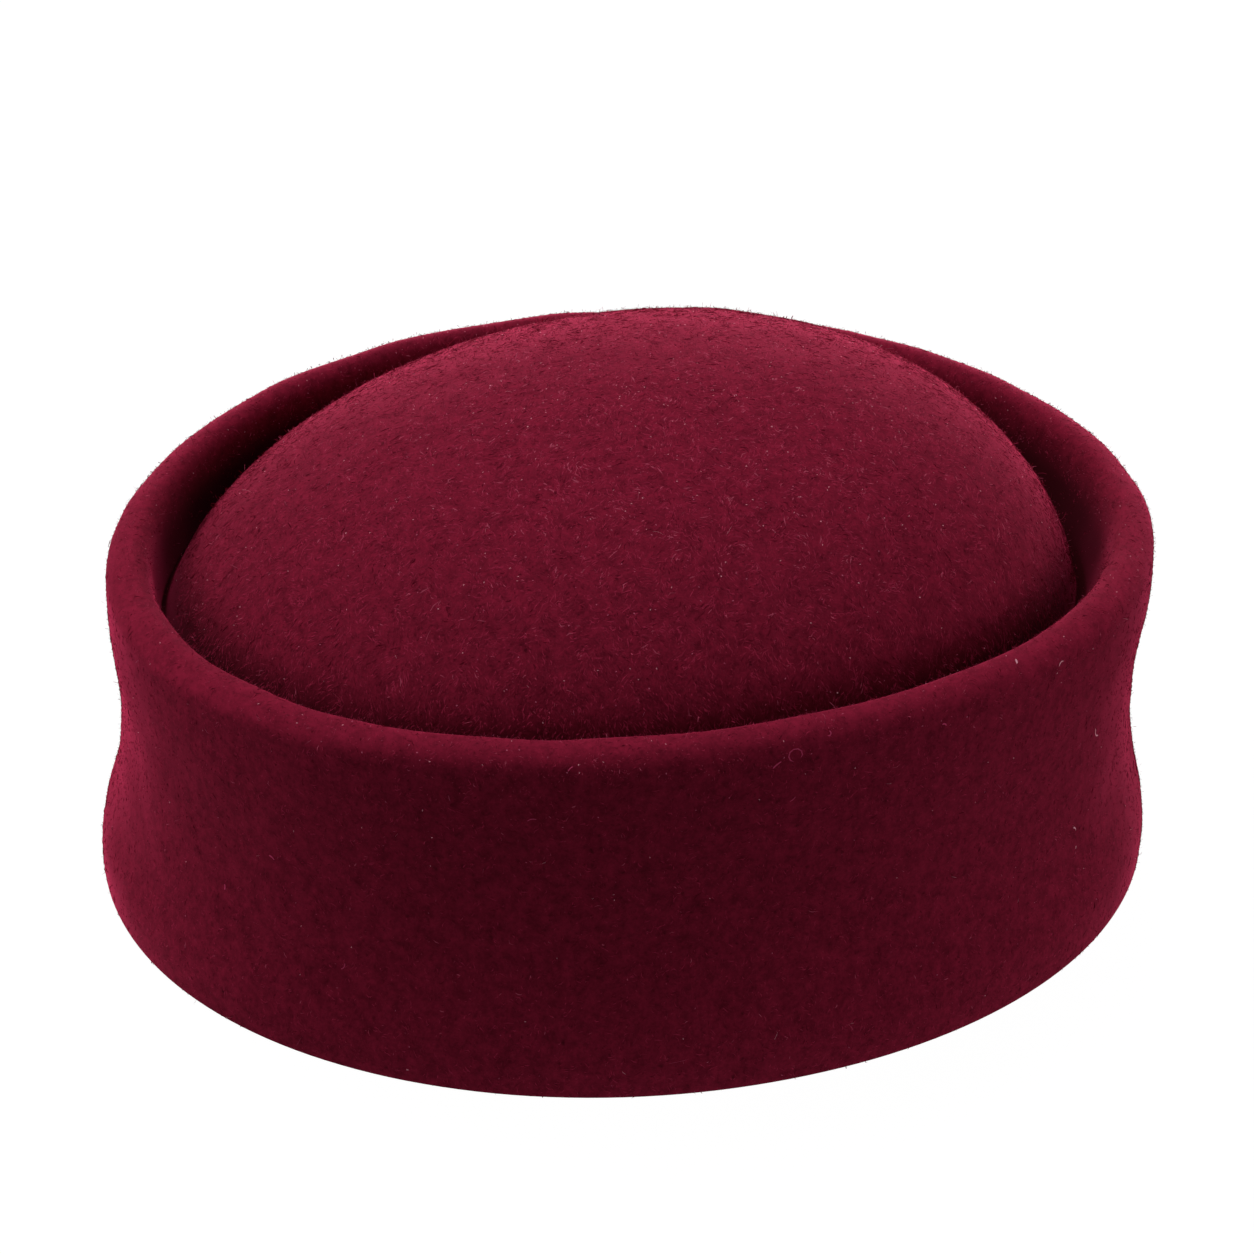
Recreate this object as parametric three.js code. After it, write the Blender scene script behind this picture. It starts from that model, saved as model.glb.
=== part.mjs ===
// Flight attendant hat: a pillbox cap blocked from one sheet of wool felt.
// Millimetres, +Z up. The front of the hat is -Y and the back is +Y. The origin lies under the
// middle of the hat, on the surface that its cut bottom edge rests on.
import * as THREE from "three";

// Head oval: the outside of the wall at its waist.
const WAIST_LENGTH = 189;
const WAIST_WIDTH = 170.5;
const OVAL_FULLNESS = 2.035; // exponent of the oval: 2 is an ellipse, more is squarer
const FELT_THICKNESS = 2.5;

// Rim: the fold at the top of the wall, fuller on the outside of its crest than on the inside, and
// the groove between it and the crown.
const RIM_HEIGHT = 66.3;
const RIM_ROUND_HEIGHT = 4;
const RIM_OUTER_ROUND = 4.8;
const RIM_INNER_ROUND = 3.2;
const RIM_FLARE = 1.9;
const GROOVE_WALL_LEAN = THREE.MathUtils.degToRad(12);

// Crown: half an ellipse in section, set back so that its front slopes more gently.
const CROWN_RADIUS = 80.7;
const CROWN_RISE = 48;
const CROWN_CENTRE_HEIGHT = 45.9;
const CROWN_FOOT_HEIGHT = 52.5; // where the crown springs from the round bottom of the groove
const CROWN_SET_BACK = 11.6; // of the top, against the foot
const CROWN_FOOT_FORWARD = 1.8;

// Blocking: how the rim of the finished hat departs from a level oval.
const SIDE_RISE = 1.9; // the sides stand higher than the front and the back
const BACK_RISE = 1.8; // the back stands higher than the front
const BACK_LEAN = 0.7; // the rim sits further back than the bottom edge

// Wall sections, with the flare of each outside the waist.
const WALL_SECTIONS = [
  { height: 0, flare: 4.2 },
  { height: 7.5, flare: 4.3 },
  { height: 15.5, flare: 2.15 },
  { height: 24.5, flare: 0.5 },
  { height: 34, flare: 0 },
  { height: 43.5, flare: 0.5 },
  { height: 52.5, flare: 1.5 },
  { height: RIM_HEIGHT - RIM_ROUND_HEIGHT, flare: RIM_FLARE },
];

// Facets along each stretch of the section, and around the hat.
const WALL_FACETS = 8;
const RIM_FACETS = 3;
const GROOVE_FACETS = 3;
const CROWN_FACETS = 7;
const ROUND_FACETS = 48;

const WAIST_RADIUS = (WAIST_LENGTH + WAIST_WIDTH) / 4;
const OVALITY = (WAIST_LENGTH - WAIST_WIDTH) / (WAIST_LENGTH + WAIST_WIDTH);
const RIM_CREST_RADIUS = WAIST_RADIUS + RIM_FLARE - RIM_OUTER_ROUND;
const RIM_SHOULDER_HEIGHT = RIM_HEIGHT - RIM_ROUND_HEIGHT;

// Where the inside of the rim runs on into the groove wall, which leans towards the crown.
const GROOVE_WALL_TURN = Math.atan(RIM_INNER_ROUND / RIM_ROUND_HEIGHT / Math.tan(GROOVE_WALL_LEAN));
const GROOVE_WALL_TOP = new THREE.Vector2(
  RIM_CREST_RADIUS - RIM_INNER_ROUND * Math.sin(GROOVE_WALL_TURN),
  RIM_SHOULDER_HEIGHT + RIM_ROUND_HEIGHT * Math.cos(GROOVE_WALL_TURN),
);
const GROOVE_WALL_FACING = new THREE.Vector2(-Math.cos(GROOVE_WALL_LEAN), Math.sin(GROOVE_WALL_LEAN));

// The crown's ellipse at its foot: the angle from its widest level, and the inward slope there.
const CROWN_FOOT_ANGLE = Math.asin((CROWN_FOOT_HEIGHT - CROWN_CENTRE_HEIGHT) / CROWN_RISE);
const CROWN_FOOT = new THREE.Vector2(CROWN_RADIUS * Math.cos(CROWN_FOOT_ANGLE), CROWN_FOOT_HEIGHT);
const CROWN_FOOT_SLOPE = Math.atan((CROWN_RADIUS / CROWN_RISE) * Math.tan(CROWN_FOOT_ANGLE));
const CROWN_FOOT_FACING = new THREE.Vector2(Math.cos(CROWN_FOOT_SLOPE), Math.sin(CROWN_FOOT_SLOPE));

// The groove's round bottom touches the groove wall and runs on into the crown's foot.
const GROOVE_RADIUS =
  CROWN_FOOT.clone().sub(GROOVE_WALL_TOP).dot(GROOVE_WALL_FACING) /
  (1 - CROWN_FOOT_FACING.dot(GROOVE_WALL_FACING));
const GROOVE_CENTRE = CROWN_FOOT.clone().addScaledVector(CROWN_FOOT_FACING, GROOVE_RADIUS);
const GROOVE_WALL_FOOT = GROOVE_CENTRE.clone().addScaledVector(GROOVE_WALL_FACING, -GROOVE_RADIUS);

// The show face of the felt in section, radius against height, from the bottom edge to the top of
// the crown: wall, rim, groove wall, round bottom of the groove and crown.
function showFaceCurves() {
  const wall = new THREE.SplineCurve(
    WALL_SECTIONS.map(({ height, flare }) => new THREE.Vector2(WAIST_RADIUS + flare, height)),
  );
  const rimOutside = new THREE.EllipseCurve(
    RIM_CREST_RADIUS, RIM_SHOULDER_HEIGHT, RIM_OUTER_ROUND, RIM_ROUND_HEIGHT, 0, Math.PI / 2,
  );
  const rimInside = new THREE.EllipseCurve(
    RIM_CREST_RADIUS, RIM_SHOULDER_HEIGHT, RIM_INNER_ROUND, RIM_ROUND_HEIGHT,
    Math.PI / 2, Math.PI / 2 + GROOVE_WALL_TURN,
  );
  const grooveWall = new THREE.LineCurve(GROOVE_WALL_TOP, GROOVE_WALL_FOOT);
  const groove = new THREE.EllipseCurve(
    GROOVE_CENTRE.x, GROOVE_CENTRE.y, GROOVE_RADIUS, GROOVE_RADIUS,
    -GROOVE_WALL_LEAN, CROWN_FOOT_SLOPE - Math.PI, true,
  );
  const crown = new THREE.EllipseCurve(
    0, CROWN_CENTRE_HEIGHT, CROWN_RADIUS, CROWN_RISE, CROWN_FOOT_ANGLE, Math.PI / 2,
  );
  return [
    { curve: wall, facets: WALL_FACETS },
    { curve: rimOutside, facets: RIM_FACETS },
    { curve: rimInside, facets: RIM_FACETS },
    { curve: grooveWall, facets: 1 },
    { curve: groove, facets: GROOVE_FACETS },
    { curve: crown, facets: CROWN_FACETS },
  ];
}

// The closed section of the felt sheet: down the underside from the crown's top to the bottom
// edge, which is cut level, and back up the show face.
function feltSection() {
  const show = [];
  const under = [];
  for (const { curve, facets } of showFaceCurves()) {
    for (let i = show.length ? 1 : 0; i <= facets; i++) {
      const point = curve.getPoint(i / facets);
      const along = curve.getTangent(i / facets);
      show.push(point);
      under.push(new THREE.Vector2(-along.y, along.x).multiplyScalar(FELT_THICKNESS).add(point));
    }
  }
  under[0].y = 0;
  show.at(-1).x = 0;
  under.at(-1).x = 0;
  return [...under.reverse(), ...show];
}

// How much further than a circle the head oval reaches in a direction, before it is drawn out.
function ovalReach(angle) {
  const across = Math.abs(Math.cos(angle)) ** OVAL_FULLNESS;
  const along = Math.abs(Math.sin(angle)) ** OVAL_FULLNESS;
  return (across + along) ** (-1 / OVAL_FULLNESS);
}

// Presses a point of the round blank onto the oval block.
function block(point) {
  const radius = Math.hypot(point.x, point.y);
  const reach = ovalReach(Math.atan2(point.y, point.x));
  const x = point.x * reach;
  const y = point.y * reach;
  const level = point.z / RIM_HEIGHT;
  const saddle = (SIDE_RISE * (x * x - y * y)) / WAIST_RADIUS ** 2;
  const slope = (BACK_RISE * y) / WAIST_RADIUS;
  const towardsFoot = Math.min(radius / CROWN_RADIUS, 1);
  const offCrown = THREE.MathUtils.smoothstep(radius, CROWN_FOOT.x, GROOVE_WALL_TOP.x);
  const crownShift =
    (1 - offCrown) * (CROWN_SET_BACK * (1 - towardsFoot ** 2) - CROWN_FOOT_FORWARD);
  const lean = BACK_LEAN * level * Math.min(radius / WAIST_RADIUS, 1);
  return new THREE.Vector3(
    x * (1 - OVALITY),
    y * (1 + OVALITY) + crownShift + lean,
    point.z + level * (saddle + slope),
  );
}

function feltCap() {
  const geometry = new THREE.LatheGeometry(feltSection(), ROUND_FACETS).rotateX(Math.PI / 2);
  const position = geometry.getAttribute("position");
  const point = new THREE.Vector3();
  for (let i = 0; i < position.count; i++) {
    const pressed = block(point.fromBufferAttribute(position, i));
    position.setXYZ(i, pressed.x, pressed.y, pressed.z);
  }
  geometry.computeVertexNormals();
  const woolFelt = new THREE.MeshStandardMaterial({ color: 0x751230, roughness: 0.95, metalness: 0 });
  const mesh = new THREE.Mesh(geometry, woolFelt);
  mesh.name = "felt_cap";
  return mesh;
}

const hat = new THREE.Group();
hat.add(feltCap());

export default hat;
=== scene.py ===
import math

import bpy
import numpy as np
from mathutils import Matrix, Vector


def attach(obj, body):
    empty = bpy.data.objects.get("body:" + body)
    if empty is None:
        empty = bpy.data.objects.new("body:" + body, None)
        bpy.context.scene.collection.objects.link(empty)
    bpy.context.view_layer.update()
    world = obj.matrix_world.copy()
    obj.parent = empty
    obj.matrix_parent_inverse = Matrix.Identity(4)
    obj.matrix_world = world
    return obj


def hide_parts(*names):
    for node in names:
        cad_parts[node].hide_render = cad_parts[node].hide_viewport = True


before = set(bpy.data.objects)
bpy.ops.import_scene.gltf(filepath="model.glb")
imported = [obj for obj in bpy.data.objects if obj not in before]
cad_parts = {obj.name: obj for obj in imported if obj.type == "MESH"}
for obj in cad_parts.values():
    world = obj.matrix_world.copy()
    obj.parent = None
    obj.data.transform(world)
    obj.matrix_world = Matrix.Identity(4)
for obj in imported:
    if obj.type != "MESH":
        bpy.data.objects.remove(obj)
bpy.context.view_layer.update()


# Felt body. The real hat is one cone of wool felt, steamed and pressed over an oval wooden block, so
# wall, rolled rim, groove and crown are one sheet 2.5 mm thick. Here its section is drawn up ring by
# ring from the cut bottom edge, pressed to the oval and then given its thickness.
MM = 0.001
FELT_THICKNESS = 2.5 * MM
WAIST_LENGTH = 189 * MM
WAIST_WIDTH = 170.5 * MM
WAIST_RADIUS = (WAIST_LENGTH + WAIST_WIDTH) / 4
OVALITY = (WAIST_LENGTH - WAIST_WIDTH) / (WAIST_LENGTH + WAIST_WIDTH)
OVAL_FULLNESS = 2.035  # exponent of the oval: 2 is an ellipse, more is squarer
RIM_HEIGHT = 66.3 * MM
RIM_ROUND_HEIGHT = 4 * MM
RIM_OUTER_ROUND = 4.8 * MM
RIM_INNER_ROUND = 3.2 * MM
RIM_FLARE = 1.9 * MM
GROOVE_WALL_LEAN = math.radians(12)
CROWN_RADIUS = 80.7 * MM
CROWN_RISE = 48 * MM
CROWN_CENTRE_HEIGHT = 45.9 * MM
CROWN_FOOT_HEIGHT = 52.5 * MM
CROWN_SET_BACK = 11.6 * MM
CROWN_FOOT_FORWARD = 1.8 * MM
SIDE_RISE = 1.9 * MM
BACK_RISE = 1.8 * MM
BACK_LEAN = 0.7 * MM

# Heights on the wall, up to the rim's shoulder, and how far it flares outside the waist at each.
WALL_HEIGHTS_MM = [0, 7.5, 15.5, 24.5, 34, 43.5, 52.5, 62.3]
WALL_FLARES_MM = [4.2, 4.3, 2.15, 0.5, 0, 0.5, 1.5, 1.9]

# The groove's round bottom touches the groove wall and runs on into the foot of the crown's ellipse.
RIM_CENTRE = (WAIST_RADIUS + RIM_FLARE - RIM_OUTER_ROUND, RIM_HEIGHT - RIM_ROUND_HEIGHT)
GROOVE_WALL_TURN = math.atan(RIM_INNER_ROUND / RIM_ROUND_HEIGHT / math.tan(GROOVE_WALL_LEAN))
GROOVE_WALL_TOP = Vector((
    RIM_CENTRE[0] - RIM_INNER_ROUND * math.sin(GROOVE_WALL_TURN),
    RIM_CENTRE[1] + RIM_ROUND_HEIGHT * math.cos(GROOVE_WALL_TURN),
))
GROOVE_WALL_FACING = Vector((-math.cos(GROOVE_WALL_LEAN), math.sin(GROOVE_WALL_LEAN)))
FOOT_ANGLE = math.asin((CROWN_FOOT_HEIGHT - CROWN_CENTRE_HEIGHT) / CROWN_RISE)
FOOT = Vector((CROWN_RADIUS * math.cos(FOOT_ANGLE), CROWN_FOOT_HEIGHT))
FOOT_SLOPE = math.atan(CROWN_RADIUS / CROWN_RISE * math.tan(FOOT_ANGLE))
FOOT_FACING = Vector((math.cos(FOOT_SLOPE), math.sin(FOOT_SLOPE)))
GROOVE_GAP = (FOOT - GROOVE_WALL_TOP).dot(GROOVE_WALL_FACING)
GROOVE_RADIUS = GROOVE_GAP / (1 - FOOT_FACING.dot(GROOVE_WALL_FACING))
GROOVE_CENTRE = FOOT + FOOT_FACING * GROOVE_RADIUS
GROOVE_WALL_FOOT = GROOVE_CENTRE - GROOVE_WALL_FACING * GROOVE_RADIUS


def arc(centre, radii, start, end, steps):
    """Points of an arc in the section, radius against height, without its first point."""
    angles = np.linspace(start, end, steps + 1)[1:]
    return [(centre[0] + radii[0] * math.cos(a), centre[1] + radii[1] * math.sin(a)) for a in angles]


def wall_section(heights_mm):
    """The wall's outside in section: a smooth curve through its flares."""
    slopes = np.gradient(WALL_FLARES_MM, WALL_HEIGHTS_MM)
    last_row = len(WALL_HEIGHTS_MM) - 2
    points = []
    for height in heights_mm:
        row = min(np.searchsorted(WALL_HEIGHTS_MM, height, side="right") - 1, last_row)
        span = WALL_HEIGHTS_MM[row + 1] - WALL_HEIGHTS_MM[row]
        t = (height - WALL_HEIGHTS_MM[row]) / span
        flare = (
            (1 + 2 * t) * (1 - t) ** 2 * WALL_FLARES_MM[row]
            + t * (1 - t) ** 2 * span * slopes[row]
            + t * t * (3 - 2 * t) * WALL_FLARES_MM[row + 1]
            + t * t * (t - 1) * span * slopes[row + 1]
        )
        points.append((WAIST_RADIUS + flare * MM, height * MM))
    return points


CUT_EDGE_STEPS_MM = [0, 0.7, 2]  # close together, so that the cut edge stays crisp
WALL_STEPS_MM = np.linspace(4, WALL_HEIGHTS_MM[-1], 17)
OPEN_TOP = 0.02  # in radians, left open at the crown's top, where the last ring is merged to a point
UPRIGHT = math.pi / 2
section = wall_section([*CUT_EDGE_STEPS_MM, *WALL_STEPS_MM])
section += arc(RIM_CENTRE, (RIM_OUTER_ROUND, RIM_ROUND_HEIGHT), 0, UPRIGHT, steps=6)
section += arc(
    RIM_CENTRE, (RIM_INNER_ROUND, RIM_ROUND_HEIGHT), UPRIGHT, UPRIGHT + GROOVE_WALL_TURN, steps=5
)
section += [tuple(GROOVE_WALL_TOP.lerp(GROOVE_WALL_FOOT, share)) for share in (0.25, 0.5, 0.75, 1)]
section += arc(
    GROOVE_CENTRE, (GROOVE_RADIUS, GROOVE_RADIUS), -GROOVE_WALL_LEAN, FOOT_SLOPE - math.pi, steps=5
)
section += arc(
    (0, CROWN_CENTRE_HEIGHT), (CROWN_RADIUS, CROWN_RISE), FOOT_ANGLE, UPRIGHT - OPEN_TOP, steps=22
)

ROUND_STEPS = 96
bpy.ops.object.select_all(action="DESELECT")
bpy.ops.mesh.primitive_circle_add(vertices=ROUND_STEPS, radius=section[0][0], location=(0, 0, 0))
felt_body = bpy.context.object
felt_body.name = "felt_body"
bpy.ops.object.mode_set(mode="EDIT")
bpy.ops.mesh.select_all(action="SELECT")
for (radius, height), (next_radius, next_height) in zip(section, section[1:]):
    bpy.ops.mesh.extrude_edges_move(TRANSFORM_OT_translate={"value": (0, 0, next_height - height)})
    growth = next_radius / radius
    bpy.ops.transform.resize(value=(growth, growth, 1), center_override=(0, 0, next_height))
bpy.ops.mesh.merge(type="CENTER")

# Extruding leaves the faces in an order that changes from run to run, so they are sorted by their
# distance from a point to one side, and the fibres below are strewn alike each time.
SORTING_POINT = (310 * MM, -470 * MM, 130 * MM)
bpy.context.scene.cursor.location = SORTING_POINT
bpy.ops.mesh.select_all(action="SELECT")
bpy.ops.mesh.sort_elements(type="CURSOR_DISTANCE", elements={"VERT", "EDGE", "FACE"})
bpy.ops.object.mode_set(mode="OBJECT")


def smooth_step(low, high, value):
    """0 below one limit and 1 above the other, with a soft change between them."""
    t = min(max((value - low) / (high - low), 0), 1)
    return t * t * (3 - 2 * t)


def blocked(point):
    """A point of the round blank, pressed onto the oval block."""
    radius = math.hypot(point.x, point.y)
    angle = math.atan2(point.y, point.x)
    across = abs(math.cos(angle)) ** OVAL_FULLNESS
    along = abs(math.sin(angle)) ** OVAL_FULLNESS
    reach = (across + along) ** (-1 / OVAL_FULLNESS)
    x, y = point.x * reach, point.y * reach
    level = point.z / RIM_HEIGHT
    saddle = SIDE_RISE * (x * x - y * y) / WAIST_RADIUS**2
    slope = BACK_RISE * y / WAIST_RADIUS
    on_crown = 1 - smooth_step(FOOT.x, GROOVE_WALL_TOP.x, radius)
    towards_foot = min(radius / CROWN_RADIUS, 1)
    crown_shift = on_crown * (CROWN_SET_BACK * (1 - towards_foot**2) - CROWN_FOOT_FORWARD)
    lean = BACK_LEAN * level * min(radius / WAIST_RADIUS, 1)
    return Vector((
        x * (1 - OVALITY),
        y * (1 + OVALITY) + crown_shift + lean,
        point.z + level * (saddle + slope),
    ))


for vertex in felt_body.data.vertices:
    vertex.co = blocked(vertex.co)

bpy.ops.object.mode_set(mode="EDIT")
bpy.ops.mesh.select_all(action="SELECT")
bpy.ops.mesh.normals_make_consistent(inside=False)
bpy.ops.object.mode_set(mode="OBJECT")

felt_body.vertex_groups.new(name="underside")
felt_body.vertex_groups.new(name="cut_edge")
thickness = felt_body.modifiers.new("felt_thickness", "SOLIDIFY")
thickness.thickness = FELT_THICKNESS
thickness.offset = -1
thickness.shell_vertex_group = "underside"
thickness.rim_vertex_group = "cut_edge"
bpy.ops.object.modifier_apply(modifier=thickness.name)
rounding = felt_body.modifiers.new("pressed_round", "SUBSURF")
rounding.levels = rounding.render_levels = 1
bpy.ops.object.modifier_apply(modifier=rounding.name)
bpy.ops.object.shade_smooth()

DICE = np.random.default_rng(7)


def unit(vectors):
    return vectors / np.linalg.norm(vectors, axis=-1, keepdims=True)


class Wander:
    """A direction that changes smoothly and at random from place to place: a sum of plane waves."""

    def __init__(self, wavelength, waves=48, spread=(0.6, 1.6)):
        lengths = wavelength * DICE.uniform(*spread, (waves, 1))
        self.waves = unit(DICE.normal(size=(waves, 3))) * math.tau / lengths
        self.phases = DICE.uniform(0, math.tau, waves)
        self.pushes = DICE.normal(0, math.sqrt(2 / waves), (waves, 3))

    def at(self, points):
        return np.sin(points @ self.waves.T + self.phases) @ self.pushes


def felt_vectors(kind):
    """The place or the outward direction of each vertex of the felt, one row each."""
    vectors = np.empty(len(felt_body.data.vertices) * 3)
    felt_body.data.vertices.foreach_get(kind, vectors)
    return vectors.reshape(-1, 3)


# Pressing is never quite even, so the sheet dips and swells a little away from its cut edge.
UNEVENNESS = 0.09 * MM
SWELL_LENGTH = 16 * MM
LEVEL_EDGE = 8 * MM
spots = felt_vectors("co")
off_edge = np.clip(spots[:, 2:] / LEVEL_EDGE, 0, 1)
spots += felt_vectors("normal") * Wander(SWELL_LENGTH).at(spots)[:, :1] * UNEVENNESS * off_edge
felt_body.data.vertices.foreach_set("co", spots.ravel())
felt_body.data.update()


class Shade:
    """A socket of a material. Arithmetic on it adds Math nodes, and node() adds any other node."""

    def __init__(self, tree, socket=None):
        self.tree = tree
        self.socket = socket

    def node(self, kind, settings, inputs, output=0):
        made = self.tree.nodes.new(kind)
        for name, value in settings.items():
            setattr(made, name, value)
        for name, value in inputs.items():
            if isinstance(value, Shade):
                self.tree.links.new(value.socket, made.inputs[name])
            else:
                made.inputs[name].default_value = value
        return Shade(self.tree, made.outputs[output])

    def maths(self, operation, first, second):
        return self.node("ShaderNodeMath", {"operation": operation}, {0: first, 1: second})

    def __add__(self, other):
        return self.maths("ADD", self, other)

    __radd__ = __add__

    def __sub__(self, other):
        return self.maths("SUBTRACT", self, other)

    def __rsub__(self, other):
        return self.maths("SUBTRACT", other, self)

    def __mul__(self, other):
        return self.maths("MULTIPLY", self, other)

    __rmul__ = __mul__


SHEEN_TINT = (1, 0.06, 0.182)


def plain_wool(name, colour):
    """Principled wool in one colour: matt, with the soft sheen of many fine fibres."""
    material = bpy.data.materials.new(name)
    material.use_nodes = True
    wool = material.node_tree.nodes["Principled BSDF"]
    wool.inputs["Base Color"].default_value = (*colour, 1)
    wool.inputs["Roughness"].default_value = 1
    wool.inputs["Specular IOR Level"].default_value = 0.05
    wool.inputs["Sheen Weight"].default_value = 1
    wool.inputs["Sheen Roughness"].default_value = 0.3
    wool.inputs["Sheen Tint"].default_value = (*SHEEN_TINT, 1)
    return material


FELT_DARK = (0.13, 0.0055, 0.0185)
FELT_LIGHT = (0.29, 0.0128, 0.042)
# Painted shade: the near-black red that the felt's colour turns to down in the groove and on the crown's
# foot below the rim's crest.
GROOVE_PAINTED_SHADE = (0.04, 0.0018, 0.005)
MOTTLE_CONTRAST = 2.4
SWIRL_CONTRAST = 0.8
PIT_THRESHOLD = 0.7
PIT_DARKNESS = 2.5
# How much lighter the felt is painted on the rim's fold, which is partly worn and partly a painted
# highlight, and up the crown, which has painted light towards its top and painted shade at its foot.
LIGHT_AND_WEAR_GAIN = 0.35
WALL_LOFT = 0.35  # swirls on the pressed wall, against those on the crown
DARKEST = -0.3  # how far the mix may run past the dark dye
SWIRL_HEIGHT = 0.25 * MM


def wool_felt():
    """Pressed felt: dye that is softly mottled at every size, with swirls of wool and a few dark pits.
    The groove and the crown's foot below the rim's crest carry painted shade. The crown is painted
    lighter towards its top and a little darker at its foot. The rim's fold is lighter, partly worn and
    partly a painted highlight. The crown's swirls stand up a little."""
    material = plain_wool("wool_felt", FELT_LIGHT)
    tree = material.node_tree
    shade = Shade(tree)
    place = shade.node("ShaderNodeTexCoord", {}, {}, "Object")
    mottle = shade.node(
        "ShaderNodeTexNoise", {}, {"Vector": place, "Scale": 380, "Detail": 3, "Roughness": 0.9}
    )
    swirl = shade.node(
        "ShaderNodeTexNoise", {}, {"Vector": place, "Scale": 700, "Detail": 1, "Distortion": 2.5}
    )
    pits = shade.node("ShaderNodeTexNoise", {}, {"Vector": place, "Scale": 1000, "Detail": 0})
    depth = shade.maths("MAXIMUM", pits - PIT_THRESHOLD, 0)
    groove = shade.node("ShaderNodeAttribute", {"attribute_name": "groove"}, {}, "Fac")
    wear_and_painted_light = shade.node("ShaderNodeAttribute", {"attribute_name": "wear_and_painted_light"}, {}, "Fac")
    crown = shade.node("ShaderNodeAttribute", {"attribute_name": "crown"}, {}, "Fac")
    loft = (swirl - 0.5) * (WALL_LOFT + crown * (1 - WALL_LOFT))
    fibre = 0.5 + (mottle - 0.5) * MOTTLE_CONTRAST + loft * SWIRL_CONTRAST
    fibre = fibre - depth * PIT_DARKNESS + wear_and_painted_light * LIGHT_AND_WEAR_GAIN
    felt = shade.node(
        "ShaderNodeMix",
        {"data_type": "RGBA", "clamp_factor": False},
        {0: shade.maths("MAXIMUM", fibre, DARKEST), 6: (*FELT_DARK, 1), 7: (*FELT_LIGHT, 1)},
        2,
    )
    # The felt's colour is mixed towards painted shade in the groove.
    colour = shade.node(
        "ShaderNodeMix", {"data_type": "RGBA"}, {0: groove, 6: felt, 7: (*GROOVE_PAINTED_SHADE, 1)}, 2
    )
    relief = shade.node(
        "ShaderNodeBump", {}, {"Height": loft * crown, "Distance": SWIRL_HEIGHT, "Strength": 0.25}
    )
    wool = tree.nodes["Principled BSDF"]
    tree.links.new(colour.socket, wool.inputs["Base Color"])
    tree.links.new(relief.socket, wool.inputs["Normal"])
    return material


# Where each painted shade and light begins and ends. There is painted shade in the groove and on the
# crown's foot,
# # a lighter fold of the rim that is partly worn and partly a painted highlight, and painted light up
# the crown.
# # A reach is a distance from the middle, as on a round hat, and a drop is a depth below the rim's
# crest.
GROOVE_SHADE_CROWN_REACH = (69 * MM, 79 * MM)
GROOVE_SHADE_RIM_REACH = (84.5 * MM, 88 * MM)
GROOVE_SHADE_DROP = (0.5 * MM, 9 * MM)
FOLD_REACH = (84 * MM, 88 * MM)
FOLD_DROP = (1.2 * MM, 4.8 * MM)
CROWN_EDGE_REACH = (77 * MM, 81 * MM)
CROWN_PAINTED_LIGHT_HEIGHTS = (60 * MM, 92 * MM)
PAINTED_SHADE_AT_CROWN_FOOT = -0.1
PAINTED_LIGHT_UP_CROWN = 0.7
for name in ("groove", "wear_and_painted_light", "crown"):
    felt_body.data.attributes.new(name, "FLOAT", "POINT")
for vertex in felt_body.data.vertices:
    reach = math.hypot(vertex.co.x / (1 - OVALITY), vertex.co.y / (1 + OVALITY))
    aft = vertex.co.y / WAIST_RADIUS
    drop = RIM_HEIGHT + SIDE_RISE * (1 - 2 * aft**2) + BACK_RISE * aft - vertex.co.z
    # Painted shade in the groove: it runs from the crown's foot across the groove to the rim's inner
    # side, deeper below the crest.
    between = smooth_step(*GROOVE_SHADE_CROWN_REACH, reach) * (1 - smooth_step(*GROOVE_SHADE_RIM_REACH, reach))
    in_groove = between * smooth_step(*GROOVE_SHADE_DROP, drop)
    # The rim's fold is lighter. This is partly worn felt and partly a painted highlight where the light
    # catches its crest.
    fold_wear_and_highlight = smooth_step(*FOLD_REACH, reach) * (1 - smooth_step(*FOLD_DROP, drop))
    on_crown = 1 - smooth_step(*CROWN_EDGE_REACH, reach)
    # Painted light up the crown: lighter towards its top, where the light falls, and a little darker at
    # its foot as painted shade.
    crown_painted_light = PAINTED_LIGHT_UP_CROWN * smooth_step(*CROWN_PAINTED_LIGHT_HEIGHTS, vertex.co.z) + PAINTED_SHADE_AT_CROWN_FOOT
    felt_body.data.attributes["groove"].data[vertex.index].value = in_groove
    felt_body.data.attributes["wear_and_painted_light"].data[vertex.index].value = fold_wear_and_highlight + on_crown * crown_painted_light
    felt_body.data.attributes["crown"].data[vertex.index].value = on_crown
felt_body.data.materials.append(wool_felt())
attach(felt_body, "root")
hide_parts("felt_cap")


# Crown nap. Wool fibres that lie on the pressed felt of the crown and lift a little from it. Neighbours
# swirl together, and near the crown's foot they are combed uphill. Each is a thin closed strand of wool,
# rooted in the felt at both ends.

# The patches that fibres are strewn on are the triangles of the finished body. A vertex of its underside
# or of its cut edge is hidden.
hidden = np.zeros(len(felt_body.data.vertices))
for vertex in felt_body.data.vertices:
    for group in vertex.groups:
        hidden[vertex.index] = max(hidden[vertex.index], group.weight)
corners = felt_vectors("co")
leanings = felt_vectors("normal")
felt_body.data.calc_loop_triangles()
patches = np.empty(len(felt_body.data.loop_triangles) * 3, dtype=np.int32)
felt_body.data.loop_triangles.foreach_get("vertices", patches)
patches = patches.reshape(-1, 3)
patch_middle = corners[patches].mean(axis=1)
patch_height = patch_middle[:, 2]
patch_normal = leanings[patches].mean(axis=1)
patch_sides = corners[patches[:, 1:]] - corners[patches[:, :1]]
patch_area = np.linalg.norm(np.cross(patch_sides[:, 0], patch_sides[:, 1]), axis=1) / 2
patch_reach = np.hypot(patch_middle[:, 0] / (1 - OVALITY), patch_middle[:, 1] / (1 + OVALITY))
outward = patch_middle * (1, 1, 0)
outward /= np.linalg.norm(outward, axis=1, keepdims=True) + 1e-9
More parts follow.
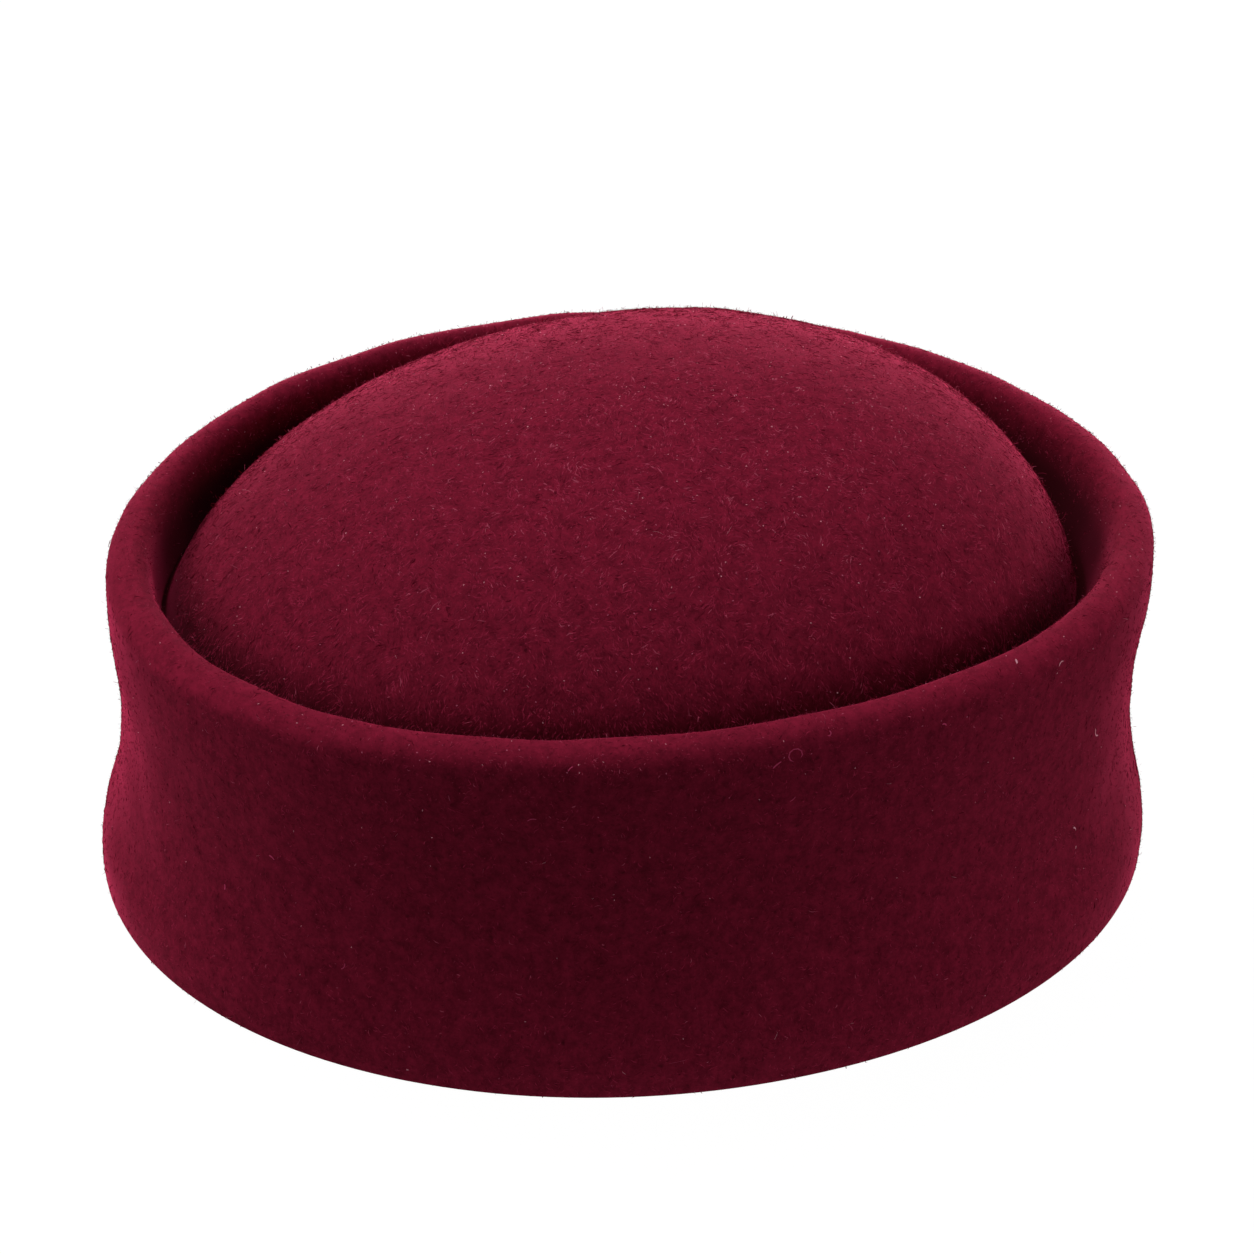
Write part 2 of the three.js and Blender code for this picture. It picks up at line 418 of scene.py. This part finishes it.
facing_out = (patch_normal * outward).sum(axis=1)

CROWN_REACH = 79.5 * MM
WALL_REACH = 85 * MM
WALL_TOP = 62 * MM
WALL_FACING = 0.4
shown = hidden[patches].max(axis=1) < 0.01
crown_patches = shown & (patch_reach < CROWN_REACH)
on_wall = (patch_height < WALL_TOP) & (patch_reach > WALL_REACH)
wall_patches = shown & on_wall & (facing_out > WALL_FACING)
rim_patches = shown & ~crown_patches & ~wall_patches
under_patches = hidden[patches].min(axis=1) > 0.5

swirls = Wander(7 * MM)
tufts = Wander(3.5 * MM)


def felt_points(chosen, count):
    """Points strewn over some patches of the felt, with the felt's outward direction there. Patches are
    chosen by a weight, and an even spread comes from equal weights."""
    weight = patch_area * chosen
    rows = DICE.choice(len(weight), count, p=weight / weight.sum())
    share = DICE.dirichlet((1, 1, 1), count)
    point = np.einsum("nc,ncd->nd", share, corners[patches[rows]])
    out = np.einsum("nc,ncd->nd", share, leanings[patches[rows]])
    return point, unit(out)


LYING_STRAY = 0.45  # how far a lying fibre strays from its swirl
LYING_SPREAD = 0.35  # of the lengths, as a share
LYING_BOW = 0.17  # sideways, as a share of the length
LYING_LIFT_MM = (0.04, 0.1)
LYING_DEPTH = 0.05 * MM


def lying_fibres(chosen, count, length, comb=None):
    """Paths of short bowed fibres that lie on the felt, rooted in it at both ends, and the way that each
    faces. Neighbours swirl together, and a comb may pull them one way."""
    root, out = felt_points(chosen, count)
    along = unit(np.cross(out, swirls.at(root) + DICE.normal(0, LYING_STRAY, (count, 3))))
    if comb is not None:
        pull, weight = comb(root, out)
        along = unit(along * (1 - weight) + pull * weight)
    reach = length * np.exp(DICE.normal(0, LYING_SPREAD, (count, 1)))
    bow = DICE.normal(0, LYING_BOW, (count, 1))
    height = DICE.uniform(*LYING_LIFT_MM, (count, 1)) * MM
    middle = root + reach / 2 * along + bow * reach * np.cross(out, along) + out * height
    end = root + reach * along - out * LYING_DEPTH
    return np.stack([root - out * LYING_DEPTH, middle, end], axis=1), out


def uphill(root, out):
    """The way up the crown, with more pull near its foot than in the middle."""
    combed_from = 45 * MM
    combed_over = 45 * MM
    most_pull = 0.6
    pull = np.array((0, 0, 1)) - out * out[:, 2:]
    reach = np.hypot(root[:, :1] / (1 - OVALITY), root[:, 1:2] / (1 + OVALITY))
    return unit(pull), np.clip((reach - combed_from) / combed_over, 0, most_pull)


STRAND_FLATNESS = 0.7  # depth of a strand against half its width
STRAND_GIRTHS = (0.6, 1.4)
TUFT_STRENGTH = 0.7  # how much of a strand's shade it shares with its neighbours


def strands(name, paths, facing, width, shades, shares, lean=0.25):
    """Closed three-sided strands along paths, pointed at both ends, each with a flat side that faces
    one way. One mesh holds them all, in several shades that gather in tufts."""
    count, points, _ = paths.shape
    along = unit(paths[:, 2:] - paths[:, :-2])
    facing = unit(facing + DICE.normal(0, lean, facing.shape))
    side = unit(np.cross(along, facing[:, None, :]) + 1e-9)
    spokes = np.stack([side, np.cross(along, side) * STRAND_FLATNESS, -side], axis=2)
    girth = width / 2 * DICE.uniform(*STRAND_GIRTHS, (count, 1, 1, 1))
    rings = (paths[:, 1:-1, None] + girth * spokes).reshape(count, -1, 3)
    corner_rows = np.concatenate([paths[:, :1], rings, paths[:, -1:]], axis=1)
    corner_rows[..., 2] = np.maximum(corner_rows[..., 2], 0)
    per_strand = corner_rows.shape[1]
    last = per_strand - 1
    pattern = [(0, 1 + (i + 1) % 3, 1 + i) for i in range(3)]
    for ring in range(points - 3):
        low, high = 1 + 3 * ring, 4 + 3 * ring
        for i in range(3):
            pattern.append((low + i, low + (i + 1) % 3, high + (i + 1) % 3))
            pattern.append((low + i, high + (i + 1) % 3, high + i))
    pattern += [(last, last - 3 + i, last - 3 + (i + 1) % 3) for i in range(3)]
    faces = np.array(pattern)[None] + np.arange(count)[:, None, None] * per_strand
    mesh = bpy.data.meshes.new(name)
    mesh.from_pydata(corner_rows.reshape(-1, 3), [], faces.reshape(-1, 3))
    for shade in shades:
        mesh.materials.append(shade)
    lightness = tufts.at(paths[:, 0])[:, 0] * TUFT_STRENGTH + DICE.normal(0, 1, count)
    picks = np.digitize(lightness, np.quantile(lightness, np.cumsum(shares)[:-1]))
    mesh.polygons.foreach_set("material_index", picks.repeat(len(pattern)).astype(np.int32))
    piece = bpy.data.objects.new(name, mesh)
    bpy.context.scene.collection.objects.link(piece)
    piece.visible_shadow = False
    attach(piece, "root")


nap_shades = [
    plain_wool("nap_deep", (0.14, 0.005, 0.019)),
    plain_wool("nap_mid", (0.235, 0.013, 0.038)),
    plain_wool("nap_light", (0.36, 0.022, 0.064)),
    plain_wool("nap_pale", (0.5, 0.075, 0.14)),
]
# How much of the wool has each shade, from deep to pale.
LOW_CROWN_SHARES = (0.12, 0.62, 0.255, 0.005)
# The nap at the crown's top has more light and pale strands than the low nap. These are painted glints
# where the light grazes the top, and they make the top lighter.
HIGH_CROWN_SHARES_WITH_GLINTS = (0.15, 0.42, 0.39, 0.04)
FLAT_SHARES = (0.15, 0.6, 0.24, 0.01)
# Standing ends are paler than the felt. This is partly their own lighter wool and partly a painted sheen
# that brightens the outline where light shines through them.
FUZZ_SHARES_WITH_SHEEN = (0, 0.4, 0.4, 0.2)

RAISED_FROM = 66 * MM
RAISED_OVER = 22 * MM
CROWDING_AT_TOP = 1.5
raised = np.clip((patch_height - RAISED_FROM) / RAISED_OVER, 0, 1)
strands(
    "crown_nap_low",
    *lying_fibres(crown_patches * (1 - raised), count=33000, length=1.3 * MM, comb=uphill),
    width=0.2 * MM,
    shades=nap_shades,
    shares=LOW_CROWN_SHARES,
    lean=0.3,
)
strands(
    "crown_nap_high",
    *lying_fibres(crown_patches * raised**CROWDING_AT_TOP, count=28000, length=1.4 * MM, comb=uphill),
    width=0.2 * MM,
    shades=nap_shades,
    shares=HIGH_CROWN_SHARES_WITH_GLINTS,
    lean=0.3,
)


# Crown fuzz. The fine ends of wool that brushing has raised out of the crown's felt, most of them near
# its top. They stand, bend over a little and soften the crown's outline.
STANDING_SPREAD = 0.45  # of the lengths, as a share
STANDING_LIFT = (0.35, 1.4)  # in radians, above the felt
STANDING_DEPTH = 0.06 * MM
LONGER_TO_SHORTER = (1.36, 0.64)  # the first and the last step of a path, against an even one


def standing_fibres(chosen, count, length, steps=2):
    """Paths of short fibres that stand out of the felt, each bent over a little near its end, and the
    way that each leans."""
    root, out = felt_points(chosen, count)
    along = unit(np.cross(out, unit(DICE.normal(size=(count, 3)))))
    reach = length * np.exp(DICE.normal(0, STANDING_SPREAD, (count, 1)))
    lift = DICE.uniform(*STANDING_LIFT, (count, 1))
    droop = DICE.uniform(0, 1, (count, 1))
    path = [root]
    for share, bent in zip(np.linspace(*LONGER_TO_SHORTER, steps) / steps, np.linspace(0, 1, steps)):
        angle = lift - droop * bent
        path.append(path[-1] + reach * share * (along * np.cos(angle) + out * np.sin(angle)))
    path[0] = root - out * STANDING_DEPTH
    return np.stack(path, axis=1), along


FUZZ_ON_FLANKS = 0.15
strands(
    "crown_fuzz",
    *standing_fibres(crown_patches * (FUZZ_ON_FLANKS + raised), count=13000, length=0.5 * MM),
    width=0.08 * MM,
    shades=nap_shades,
    shares=FUZZ_SHARES_WITH_SHEEN,
)


# Crown hairs. The longer and thicker of the crown's standing ends, single coarse wool fibres held by
# the felt. Most grow on its flanks, where they show along its outline.
FEWER_AT_TOP = 0.75
strands(
    "crown_hairs",
    *standing_fibres(crown_patches * (1 - FEWER_AT_TOP * raised), count=1900, length=0.8 * MM, steps=4),
    width=0.14 * MM,
    shades=nap_shades,
    shares=FUZZ_SHARES_WITH_SHEEN,
)


# Wall nap. The same lying wool fibres on the outside of the wall, which is pressed harder than the
# crown, so they are shorter and finer and nothing combs them.
strands(
    "wall_nap",
    *lying_fibres(wall_patches, count=30000, length=1.1 * MM),
    width=0.16 * MM,
    shades=nap_shades,
    shares=FLAT_SHARES,
    lean=0.35,
)


# Wall fuzz. Fine ends of wool that stand out of the pressed wall, thinner and shorter than those on the
# crown, and held by the felt in the same way.
strands(
    "wall_fuzz",
    *standing_fibres(wall_patches, count=9000, length=0.45 * MM),
    width=0.06 * MM,
    shades=nap_shades,
    shares=FUZZ_SHARES_WITH_SHEEN,
)


# Rim nap. Lying wool fibres over the fold of the rim, where the felt is bent over the block's edge and
# its surface opens. A few lie down in the groove.
RIM_FOOT = 60 * MM
SHARE_IN_GROOVE = 0.2
on_crest = SHARE_IN_GROOVE + (patch_height > RIM_FOOT)
strands(
    "rim_nap",
    *lying_fibres(rim_patches * on_crest, count=7000, length=1 * MM),
    width=0.17 * MM,
    shades=nap_shades,
    shares=FLAT_SHARES,
    lean=0.4,
)


# Rim fuzz. Short ends of wool that handling has raised along the worn fold of the rim and, fewer of
# them, in the groove. They are held by the felt.
strands(
    "rim_fuzz",
    *standing_fibres(rim_patches * on_crest, count=12000, length=0.42 * MM),
    width=0.11 * MM,
    shades=nap_shades,
    shares=FUZZ_SHARES_WITH_SHEEN,
)


# Inside nap. Fine ends of wool on the underside of the felt and on its cut edge, which are left as
# they came off the block, with nothing sewn over them.
strands(
    "inside_nap",
    *standing_fibres(under_patches, count=5000, length=0.7 * MM),
    width=0.08 * MM,
    shades=nap_shades,
    shares=FUZZ_SHARES_WITH_SHEEN,
)


# Lint. Ends of paler wool that the nap has caught. Most are specks, many of them near the top of the
# # crown. The specks are partly lint and partly painted glints: pale bits that stand for fibre ends
# catching
# # the light, crowded where it grazes the crown's top. Some are stray hairs that stand out of the felt,
# and a
# # few are curled threads on the outside.
SPECK_DEPTH = 0.04 * MM
SPECK_LIFT = 0.1 * MM


def specks(chosen, count, length):
    """Paths of short ends that lie on the felt, a little proud of it, and the way that each faces."""
    root, out = felt_points(chosen, count)
    half = unit(np.cross(out, unit(DICE.normal(size=(count, 3))))) * length / 2
    return np.stack([root - half - out * SPECK_DEPTH, root + out * SPECK_LIFT, root + half], axis=1), out


# Shades of pale lint. On the specks they are also painted glints.
lint_and_glint_shades = [
    plain_wool("lint_mid", (0.42, 0.06, 0.13)),
    plain_wool("lint_pale", (0.62, 0.14, 0.25)),
    plain_wool("lint_palest", (0.9, 0.42, 0.52)),
]
LINT_SHARES = (0.25, 0.4, 0.35)
MORE_GLINTS_AT_TOP = 4
MORE_FROM = 75 * MM
MORE_OVER = 17 * MM
# Specks crowd near the crown's top as painted glints of grazing light, as well as lint.
lint_and_glints_near_top = 1 + MORE_GLINTS_AT_TOP * np.clip((patch_height - MORE_FROM) / MORE_OVER, 0, 1)
strands(
    "crown_specks",
    *specks(crown_patches * lint_and_glints_near_top, count=1100, length=0.42 * MM),
    width=0.19 * MM,
    shades=lint_and_glint_shades,
    shares=LINT_SHARES,
)
strands(
    "rim_specks",
    *specks(rim_patches * (patch_height > RIM_FOOT), count=330, length=0.42 * MM),
    width=0.18 * MM,
    shades=lint_and_glint_shades,
    shares=LINT_SHARES,
)
strands(
    "wall_specks",
    *specks(wall_patches, count=260, length=0.4 * MM),
    width=0.14 * MM,
    shades=lint_and_glint_shades,
    shares=LINT_SHARES,
)
strands(
    "stray_hairs",
    *standing_fibres(crown_patches | rim_patches | wall_patches, count=250, length=1.1 * MM, steps=4),
    width=0.05 * MM,
    shades=lint_and_glint_shades,
    shares=LINT_SHARES,
)

OUTSIDE_REACH = 83 * MM
OUTSIDE_FACING = 0.05
THREAD_STEPS = 9
THREAD_LIFT = 0.12 * MM
THREAD_DIP = 0.15 * MM
THREAD_WIDTH = 0.22 * MM
outside_patches = shown & (patch_reach > OUTSIDE_REACH) & (facing_out > OUTSIDE_FACING)


def curl(angle, height, heading, length, bend):
    """Path of one curled thread on the outside, at an angle around the hat, and the way that it faces.
    It sets out at a heading from the level and bends on its way. Degrees and mm."""
    direction = np.array((math.cos(math.radians(angle)), math.sin(math.radians(angle)), 0))
    side = np.cross((0, 0, 1), direction)
    off_line = np.abs(patch_middle @ side) + np.abs(patch_height - height * MM)
    off_line[~(outside_patches & (patch_middle @ direction > 0))] = np.inf
    nearest = off_line.argmin()
    out = unit(patch_normal[nearest])
    level = unit(np.cross((0, 0, 1), out))
    upward = np.cross(out, level)
    turns = np.radians(heading + bend * np.linspace(0, 1, THREAD_STEPS))[:, None]
    step = length * MM / THREAD_STEPS
    walk = np.cumsum((level * np.cos(turns) + upward * np.sin(turns)) * step, axis=0)
    path = patch_middle[nearest] + walk - walk.mean(axis=0) + out * THREAD_LIFT
    path[0] -= out * THREAD_DIP
    return path, out


rose_threads = [
    curl(angle=-2.2, height=63.3, heading=30, length=7, bend=300),
    curl(angle=-4.2, height=62.8, heading=200, length=2.2, bend=30),
    curl(angle=1.9, height=66.3, heading=-50, length=1.6, bend=200),
    curl(angle=16.6, height=62.8, heading=80, length=1.4, bend=120),
    curl(angle=-2.6, height=55.2, heading=20, length=1.5, bend=40),
    curl(angle=-30.9, height=53.1, heading=150, length=2, bend=80),
    curl(angle=-61.5, height=35.1, heading=120, length=1.6, bend=60),
    curl(angle=-51.9, height=18.6, heading=10, length=1.8, bend=90),
    curl(angle=-26.8, height=63.8, heading=200, length=1.4, bend=50),
    curl(angle=-69.1, height=24.7, heading=60, length=1.4, bend=60),
]
pale_threads = [
    curl(angle=28.3, height=67.7, heading=40, length=1.2, bend=30),
    curl(angle=34.9, height=64.5, heading=130, length=2, bend=120),
    curl(angle=45.3, height=41.5, heading=250, length=3.4, bend=100),
    curl(angle=41.9, height=25, heading=80, length=1.8, bend=90),
    curl(angle=42.4, height=20.9, heading=60, length=0.7, bend=0),
]
for name, shade, curls in (
    ("rose_threads", plain_wool("rose_thread", (0.6, 0.06, 0.16)), rose_threads),
    ("pale_threads", lint_and_glint_shades[-1], pale_threads),
):
    thread_paths = np.array([path for path, out in curls])
    thread_facing = np.array([out for path, out in curls])
    strands(name, thread_paths, thread_facing, width=THREAD_WIDTH, shades=[shade], shares=(1,))


# Floor and light. The hat stands on a pale sheet that glows evenly, so that no shadow falls on it. Soft
# lights stand all round, more of them behind the hat than in front, and the sheet throws some light
# back up at the wall.
bpy.ops.object.select_all(action="DESELECT")
bpy.ops.mesh.primitive_plane_add(size=6, location=(0, 0, 0))
floor = bpy.context.object
floor.name = "floor"
paper = bpy.data.materials.new("pale_paper")
paper.use_nodes = True
sheet = paper.node_tree.nodes["Principled BSDF"]
sheet.inputs["Base Color"].default_value = (0.02, 0.02, 0.02, 1)
sheet.inputs["Roughness"].default_value = 1
sheet.inputs["Emission Color"].default_value = (1, 1, 1, 1)
sheet.inputs["Emission Strength"].default_value = 0.99
paper.cycles.emission_sampling = "NONE"
floor.data.materials.append(paper)
floor.visible_diffuse = False
floor.visible_shadow = False

CAMERA_AZIMUTH = math.radians(69)
AIM = Vector((0, 0, 42.4 * MM))
LIGHT_DISTANCE = 1.4
BOUNCE_DEPTH = 2 * MM
up = Vector((0, 0, 1))
image_right = Vector((math.cos(CAMERA_AZIMUTH), math.sin(CAMERA_AZIMUTH), 0))
towards_camera = Vector((math.sin(CAMERA_AZIMUTH), -math.cos(CAMERA_AZIMUTH), 0))


def area_light(name, size, power):
    """A lamp with a flat face of a size in metres, and a power in watts."""
    light = bpy.data.lights.new(name, "AREA")
    light.size = size
    light.energy = power
    lamp = bpy.data.objects.new(name, light)
    bpy.context.scene.collection.objects.link(lamp)
    return lamp


def level_way(turn):
    """The level direction that is turned right of the camera's side, in degrees."""
    return towards_camera * math.cos(math.radians(turn)) + image_right * math.sin(math.radians(turn))


def soft_light(name, turn, rise, size, power):
    """A square soft light, turned right of the camera's side and raised, in degrees."""
    lamp = area_light(name, size, power)
    way = level_way(turn) * math.cos(math.radians(rise)) + up * math.sin(math.radians(rise))
    lamp.location = AIM + way * LIGHT_DISTANCE
    lamp.rotation_euler = (AIM - lamp.location).to_track_quat("-Z", "Y").to_euler()


def floor_bounce(name, turn, off, size, power):
    """Light that the pale sheet throws back up at the wall: a round patch of it, off to one side."""
    lamp = area_light(name, size, power)
    lamp.data.shape = "DISK"
    lamp.location = level_way(turn) * off - up * BOUNCE_DEPTH
    lamp.rotation_euler = (math.pi, 0, 0)


soft_light("left", turn=-90, rise=25, size=0.9, power=2.8)
soft_light("right", turn=90, rise=25, size=0.9, power=3.3)
soft_light("high_back_left", turn=-150, rise=45, size=0.9, power=4.3)
soft_light("high_back_right", turn=150, rise=45, size=0.9, power=1.8)
soft_light("top_left", turn=-120, rise=65, size=1, power=6.6)
soft_light("top_back", turn=180, rise=65, size=1, power=0.6)
soft_light("low_left", turn=-60, rise=4, size=0.5, power=2.5)
soft_light("low_right", turn=60, rise=4, size=0.5, power=3.3)
soft_light("low_back_left", turn=-150, rise=4, size=0.5, power=2.2)
soft_light("low_back_right", turn=150, rise=4, size=0.5, power=4.6)
soft_light("low_back", turn=180, rise=4, size=0.5, power=6.6)
floor_bounce("bounce_left", turn=-75, off=0.24, size=0.3, power=0.084)
floor_bounce("bounce_right", turn=75, off=0.24, size=0.3, power=0.04)
floor_bounce("bounce_front", turn=0, off=0.24, size=0.3, power=0.01)
floor_bounce("bounce_round_foot", turn=0, off=0, size=0.22, power=0.03)
world = bpy.data.worlds.new("dark_room")
world.use_nodes = True
world.node_tree.nodes["Background"].inputs["Strength"].default_value = 0
bpy.context.scene.world = world
bpy.context.scene.view_settings.view_transform = "Standard"


# Camera. It stands at the photograph's viewing angle, a little to the side of the hat and above it,
# with a long lens and the photograph's slight roll.
CAMERA_ELEVATION = math.radians(28.68)
CAMERA_ROLL = math.radians(0.8)
CAMERA_DISTANCE = 0.7492
CAMERA_LENS = 116.1
FRAMING_SHIFT = 0.2 * MM
camera = bpy.data.objects.new("camera", bpy.data.cameras.new("camera"))
bpy.context.scene.collection.objects.link(camera)
camera.data.lens = CAMERA_LENS
back = towards_camera * math.cos(CAMERA_ELEVATION) + up * math.sin(CAMERA_ELEVATION)
camera.location = AIM - image_right * FRAMING_SHIFT + back * CAMERA_DISTANCE
level_up = back.cross(image_right)
camera_right = image_right * math.cos(CAMERA_ROLL) + level_up * math.sin(CAMERA_ROLL)
camera_up = level_up * math.cos(CAMERA_ROLL) - image_right * math.sin(CAMERA_ROLL)
camera.rotation_euler = Matrix((camera_right, camera_up, back)).transposed().to_euler()
bpy.context.scene.camera = camera
